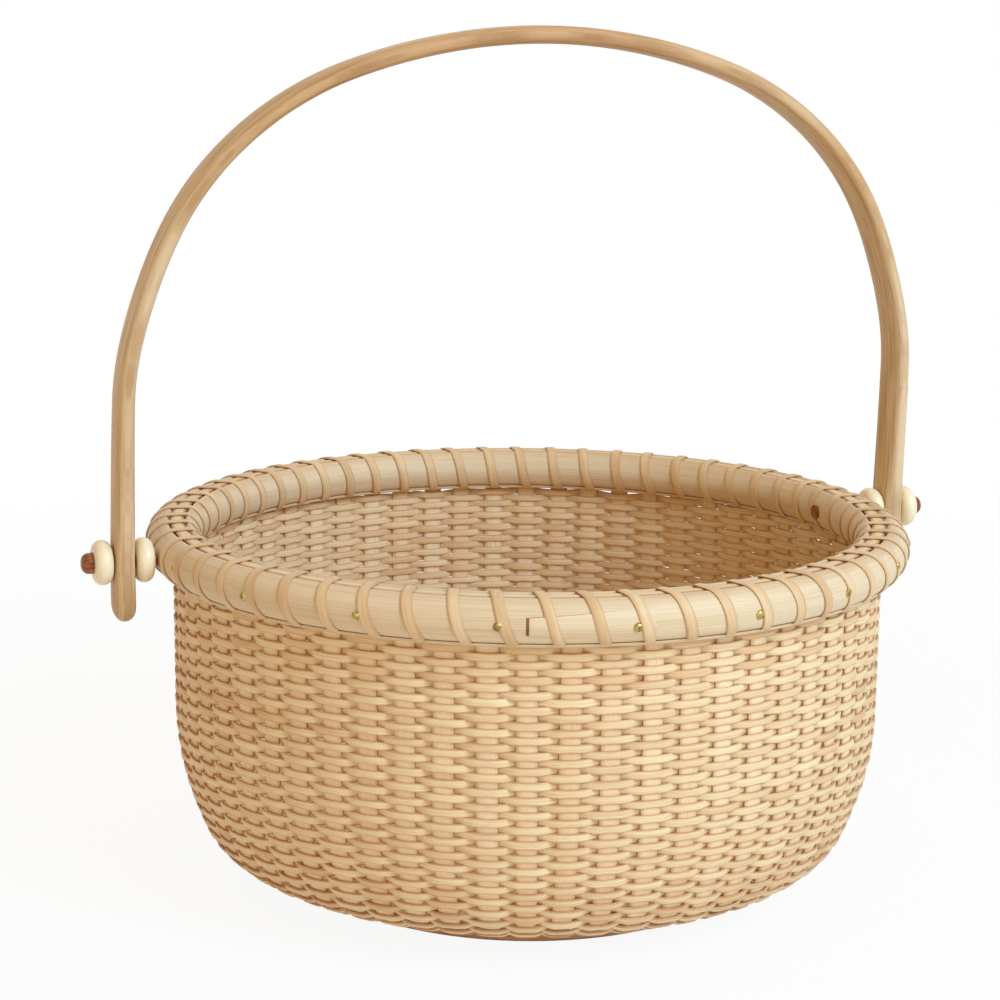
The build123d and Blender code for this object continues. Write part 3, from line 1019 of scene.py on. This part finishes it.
def makeBase():
    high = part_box("base_disc")[1][2]
    curve = np.linspace(0, math.pi / 2, base["roundPoints"])
    edge = base["edgeRound"]
    flat = baseRadius - edge
    lowerRound = [(flat + edge * math.sin(a), edge - edge * math.cos(a)) for a in curve]
    upperRound = [(flat + edge * math.cos(a), high - edge + edge * math.sin(a)) for a in curve]
    below = wall["floorMiddle"] - base["grooveHalf"]
    above = wall["floorMiddle"] + base["grooveHalf"]
    bottom = baseRadius - base["grooveDepth"]
    slot = [(baseRadius, below), (bottom, below), (bottom, above), (baseRadius, above)]
    inner = [(baseRadius * share, high) for share in base["flatRings"]]
    under = [(radius, 0.0) for radius, height in reversed(inner)]
    radius, height = np.array(under + lowerRound + slot + upperRound + inner).T
    mesh = turnedMesh("baseDisc", radius, height, base["stations"], baseRadius, radius / mm)
    addPiece("turnedBase", mesh, baseMaterial(), "basket", ["base_disc"])


makeBase()

# Turned washers, and pegs that keep their own meshes
fittings = {
    "washerShare": 0.95,       # of the diameter in the frame
    "washerBore": 2.45 * mm,
    "washerRound": 2.6 * mm,
    "washerEdge": 0.4 * mm,
    "roundPoints": 9,
    "washerStations": 64,
}
boneFinish = {
    "light": (243, 230, 196),
    "shade": (236, 218, 177),
    "line": (176, 142, 100), "lineShare": 0.15,
    "roughest": 0.38, "smoothest": 0.3, "bump": 0.00004,
}
pegFinish = {
    "light": (176, 98, 52),
    "dark": (100, 48, 22),
    "roughest": 0.4, "smoothest": 0.24, "bump": 0.00006,
}


def boneMaterial():
    material, tree, shader = startMaterial("washerBone", Coat_Weight=0.15, Coat_Roughness=0.25)
    fibres = addFibres(tree, stripPlace(tree), length=6.0, fineness=0.5)
    colour = blendColour(tree, fibres["Drift"], paint(*boneFinish["light"]), paint(*boneFinish["shade"]))
    colour = stainAndShade(tree, colour, fibres["Fleck"], boneFinish["lineShare"], boneFinish["line"])
    dress(tree, shader, colour, fibres["Drift"], boneFinish, bumpStrength=0.4)
    return material


def pegMaterial():
    material, tree, shader = startMaterial(
        "pegWood", Coat_Weight=0.2, Coat_Roughness=0.18, Specular_IOR_Level=0.2)
    fibres = addFibres(tree, nodePlace(tree, upward=0.12), length=6.0, fineness=0.8)
    colour = blendColour(tree, fibres["Streak"], paint(*pegFinish["dark"]), paint(*pegFinish["light"]))
    dress(tree, shader, colour, fibres["Streak"], pegFinish, bumpStrength=0.4)
    return material


def makeWasher(node, material):
    low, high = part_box(node)
    half = (high[0] - low[0]) / 2
    outside = (high[2] - low[2]) / 2 * fittings["washerShare"]
    curve = np.linspace(0, math.pi / 2, fittings["roundPoints"])
    rise = outside - fittings["washerRound"] * (1 - np.sin(curve))
    reach = half * np.cos(curve)
    bore = fittings["washerBore"]
    edge = fittings["washerEdge"]
    aside = np.concatenate([[half - edge, half], reach, -reach[-2::-1], [-half, edge - half]])
    radius = np.concatenate([[bore, bore + edge], rise, rise[-2::-1], [bore + edge, bore]])
    angle = np.linspace(0, 2 * math.pi, fittings["washerStations"], endpoint=False)[:, None]
    middle = (low[0] + high[0]) / 2
    rings = np.stack(np.broadcast_arrays(
        middle + aside, radius * np.cos(angle), rimMiddle + radius * np.sin(angle)), axis=-1)
    along = np.linspace(0, 2 * math.pi, fittings["washerStations"] + 1)[None] * outside / mm
    words = node.split("_")
    name = words[0] + "".join(word.title() for word in words[1:])
    mesh = sweptMesh(name, rings[None], True, along, aside / mm)
    addPiece(name, mesh, material, "basket", [node])


def makeFittings():
    bone = boneMaterial()
    peg = pegMaterial()
    for name, node in list(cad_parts.items()):
        if name.endswith("washer"):
            makeWasher(name, bone)
        if name.endswith("peg"):
            node.data.materials.clear()
            node.data.materials.append(peg)


makeFittings()
print("washers made and pegs dressed")

# Studio: pale floor, white surroundings and soft lamps
studio = {
    "floorSide": 30.0,
    "floorWhite": 0.9,
    "floorGlow": 0.92,     # share of plain white that the camera sees in the floor by the basket
    "glowFrom": 0.18,      # the floor turns plain white between these distances from the middle
    "glowTo": 0.7,
    "aim": Vector((0, 0, 0.08)),
    "ambient": 0.42,
    "ambientColour": (1.0, 0.73, 0.46, 1.0),
    "key": {"place": (0.62, -1.24, 1.05), "size": 1.0, "power": 19, "colour": (0.82, 1.08, 1.38)},
    "fill": {"place": (-1.0, -1.2, 0.35), "size": 1.0, "power": 4.0, "colour": (1.0, 0.73, 0.46)},
    "top": {"place": (0.1, 0.3, 1.6), "size": 1.2, "power": 4.4, "colour": (1.0, 0.9, 0.76)},
}


def seesBackground(tree):
    rays = addNode(tree, "ShaderNodeLightPath").outputs
    seen = sums(tree, "MAXIMUM", rays["Is Camera Ray"], rays["Is Glossy Ray"])
    return sums(tree, "MAXIMUM", seen, rays["Is Transmission Ray"])


def makeFloor():
    mesh = bpy.data.meshes.new("floor")
    half = studio["floorSide"] / 2
    corners = [(-half, -half, 0), (half, -half, 0), (half, half, 0), (-half, half, 0)]
    mesh.from_pydata(corners, [], [(0, 1, 2, 3)])
    floor = bpy.data.objects.new("floor", mesh)
    bpy.context.collection.objects.link(floor)
    material, tree, shader = startMaterial("floorPaper", Roughness=0.9)
    shader.inputs["Base Color"].default_value = (studio["floorWhite"],) * 3 + (1,)
    glow = addNode(tree, "ShaderNodeEmission", {"Color": (1, 1, 1, 1), "Strength": 1.0})
    where = addNode(tree, "ShaderNodeTexCoord").outputs["Object"]
    away = addNode(tree, "ShaderNodeVectorMath", {0: where}, operation="LENGTH").outputs["Value"]
    plainWhite = spread(tree, away, studio["glowFrom"], studio["glowTo"], studio["floorGlow"], 1.0)
    share = sums(tree, "MULTIPLY", seesBackground(tree), plainWhite)
    surface = addNode(tree, "ShaderNodeMixShader", {0: share, 1: shader.outputs[0], 2: glow.outputs[0]})
    tree.links.new(surface.outputs[0], tree.nodes["Material Output"].inputs[0])
    mesh.materials.append(material)


def makeSurroundings():
    world = bpy.data.worlds.new("studio")
    bpy.context.scene.world = world
    world.use_nodes = True
    tree = world.node_tree
    plain = tree.nodes["Background"]
    plain.inputs[0].default_value = studio["ambientColour"]
    plain.inputs[1].default_value = studio["ambient"]
    white = addNode(tree, "ShaderNodeBackground", {0: (1, 1, 1, 1), 1: 1.0})
    inputs = {0: seesBackground(tree), 1: plain.outputs[0], 2: white.outputs[0]}
    choice = addNode(tree, "ShaderNodeMixShader", inputs)
    tree.links.new(choice.outputs[0], tree.nodes["World Output"].inputs[0])


def makeLamps():
    for name in ("key", "fill", "top"):
        lamp = bpy.data.lights.new(name, "AREA")
        lamp.shape = "DISK"
        lamp.size = studio[name]["size"]
        lamp.energy = studio[name]["power"]
        lamp.color = studio[name]["colour"]
        lampObject = bpy.data.objects.new(name, lamp)
        lampObject.location = studio[name]["place"]
        aim = studio["aim"] - lampObject.location
        lampObject.rotation_euler = aim.to_track_quat("-Z", "Y").to_euler()
        bpy.context.collection.objects.link(lampObject)


makeFloor()
makeSurroundings()
makeLamps()
print("studio lit")
